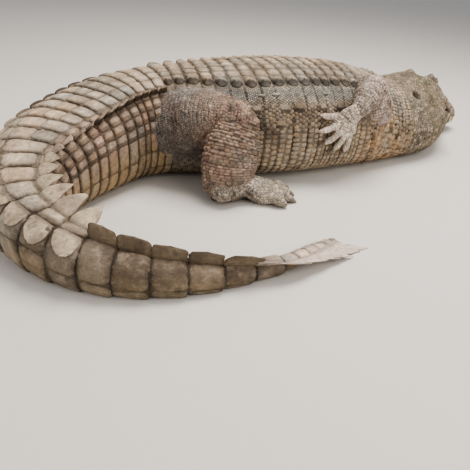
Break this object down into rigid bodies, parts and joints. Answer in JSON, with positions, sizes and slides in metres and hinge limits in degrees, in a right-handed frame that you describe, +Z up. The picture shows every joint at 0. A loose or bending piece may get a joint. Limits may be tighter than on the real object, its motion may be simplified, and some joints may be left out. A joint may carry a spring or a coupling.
{
  "type": "saltwater crocodile",
  "caption": "Life-size still model of a saltwater crocodile lying on its belly, legs folded beside it and its crested tail bent round in a U toward its right side",
  "frame": {"origin": "on the floor, below the middle of the whole animal's plan, tail and feet included", "axes": "+X is the way the trunk faces, from hips to shoulders; +Y is the animal's left; +Z is up"},
  "size_m": [2.394, 1.5278, 0.4238],
  "materials": {
    "hide": "matt scaly hide, grey-brown above and paler olive-yellow below",
    "eye": "wet gloss",
    "claw_horn": "dull horn"
  },
  "bodies": {
    "root": {"head": "hide", "lower_jaw": "hide", "right_eye": "eye", "left_eye": "eye", "neck": "hide", "trunk": "hide", "tail_1": "hide", "tail_2": "hide", "tail_3": "hide", "tail_4": "hide", "tail_5": "hide", "tail_6": "hide", "right_upper_arm": "hide", "right_forearm": "hide", "right_hand": "hide", "right_thigh": "hide", "right_shank": "hide", "right_foot": "hide", "right_hand_claw_1": "claw_horn", "right_hand_claw_2": "claw_horn", "right_hand_claw_3": "claw_horn", "right_foot_claw_1": "claw_horn", "right_foot_claw_2": "claw_horn", "right_foot_claw_3": "claw_horn", "left_upper_arm": "hide", "left_forearm": "hide", "left_hand": "hide", "left_thigh": "hide", "left_shank": "hide", "left_foot": "hide", "left_hand_claw_1": "claw_horn", "left_hand_claw_2": "claw_horn", "left_hand_claw_3": "claw_horn", "left_foot_claw_1": "claw_horn", "left_foot_claw_2": "claw_horn", "left_foot_claw_3": "claw_horn"}
  },
  "joints": []
}
